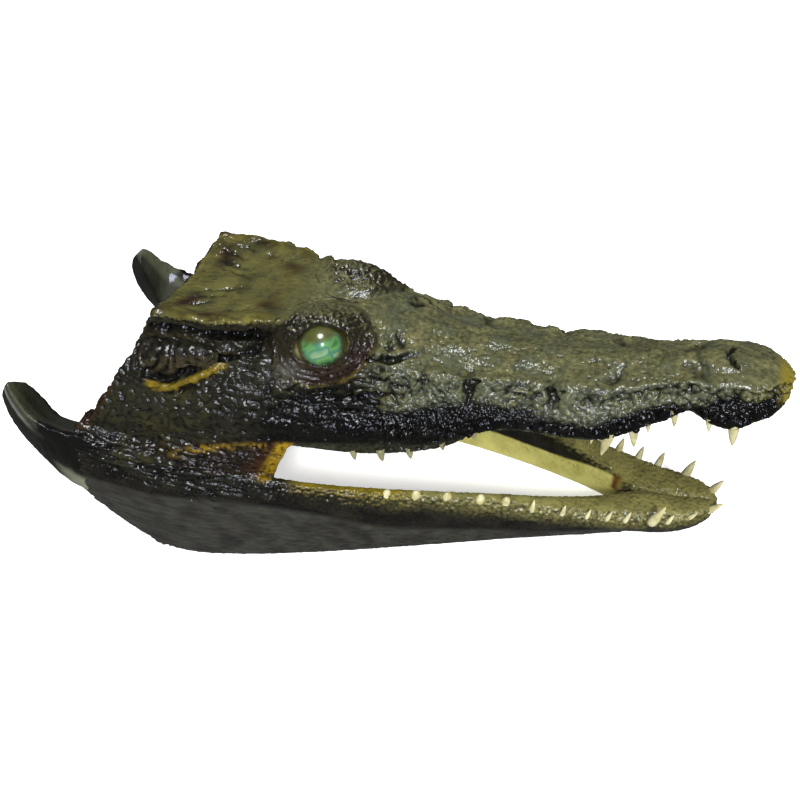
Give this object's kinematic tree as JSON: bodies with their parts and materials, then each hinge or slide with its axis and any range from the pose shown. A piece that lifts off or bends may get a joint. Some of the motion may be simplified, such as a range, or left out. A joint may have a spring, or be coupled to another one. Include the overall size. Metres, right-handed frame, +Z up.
{
  "type": "preserved crocodile head",
  "caption": "Dried and varnished head of a young crocodile with its mouth open, a still display piece that rests on its lower jaw.",
  "frame": {"origin": "on the floor, under the middle of the head's bounding box", "axes": "+X towards the tip of the snout, +Y to the animal's left, +Z up"},
  "size_m": [0.349, 0.1346, 0.1335],
  "materials": {
    "hide": "dried crocodile skin, olive to black, under clear glossy varnish",
    "amber_skin": "thin translucent yellow skin under varnish",
    "bone": "bare bone stained dark green-black and varnished",
    "tooth": "cream tooth enamel under varnish, on the teeth that grow from snout, cranium and lower jaw",
    "eye": "polished green shell-like eye with a clear glossy face"
  },
  "bodies": {
    "root": {"snout": "hide", "cranium": "hide", "ear_lid_right": "hide", "ear_lid_left": "hide", "lower_jaw_right": "hide", "lower_jaw_left": "hide", "mouth_corner_right": "amber_skin", "mouth_corner_left": "amber_skin", "jaw_process_right": "bone", "jaw_process_left": "bone", "eye_right": "eye", "eye_left": "eye"}
  },
  "joints": []
}
